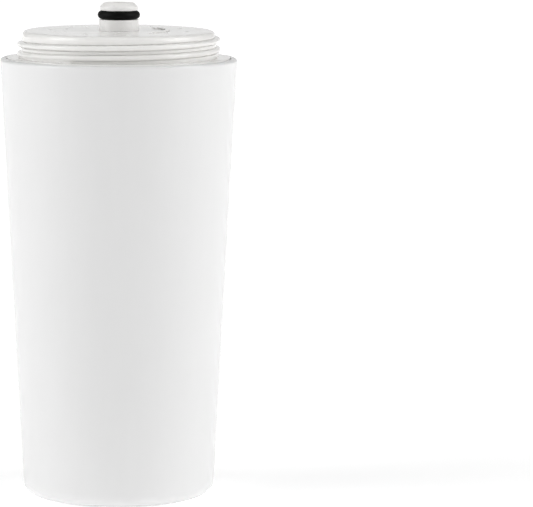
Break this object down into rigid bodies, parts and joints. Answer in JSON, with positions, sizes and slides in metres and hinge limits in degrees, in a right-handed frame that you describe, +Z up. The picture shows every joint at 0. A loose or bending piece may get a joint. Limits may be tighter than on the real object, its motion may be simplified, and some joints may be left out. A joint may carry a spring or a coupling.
{
  "type": "screw-in water filter cartridge",
  "caption": "Sealed tapered water filter cartridge with a threaded collar, a centre inlet spigot with an O-ring, outlet holes in its deck, and layered media inside.",
  "frame": {"origin": "centre of the base, on the plane that the cartridge stands on", "axes": "+Z up along the cartridge's axis, out of the spigot; the cartridge is round, and the raised turn arrow on the deck is on +X"},
  "size_m": [0.1, 0.1, 0.209],
  "materials": {
    "white_shell": "smooth glossy white polypropylene",
    "white_lid": "glossy white polypropylene, slightly warmer in the thread",
    "white_spigot": "glossy off-white polypropylene",
    "seal_rubber": "black nitrile rubber with a faint sheen",
    "natural_plastic": "natural unpigmented polypropylene",
    "screen_cloth": "woven polyester monofilament",
    "felt": "needled polypropylene felt",
    "copper_zinc_granules": "loose bright granules",
    "carbon_granules": "loose black granules"
  },
  "bodies": {
    "root": {"canister": "white_shell", "lid": "white_lid", "inlet_spigot": "white_spigot", "spigot_o_ring": "seal_rubber", "shank_seal": "seal_rubber", "down_tube": "natural_plastic", "foot_seal": "seal_rubber", "lower_plate": "natural_plastic", "lower_screen": "screen_cloth", "lower_felt": "felt", "copper_zinc_bed": "copper_zinc_granules", "separator_screen": "screen_cloth", "separator_plate": "natural_plastic", "separator_felt": "felt", "carbon_bed": "carbon_granules", "upper_felt": "felt", "upper_screen": "screen_cloth", "upper_plate": "natural_plastic"}
  },
  "joints": []
}
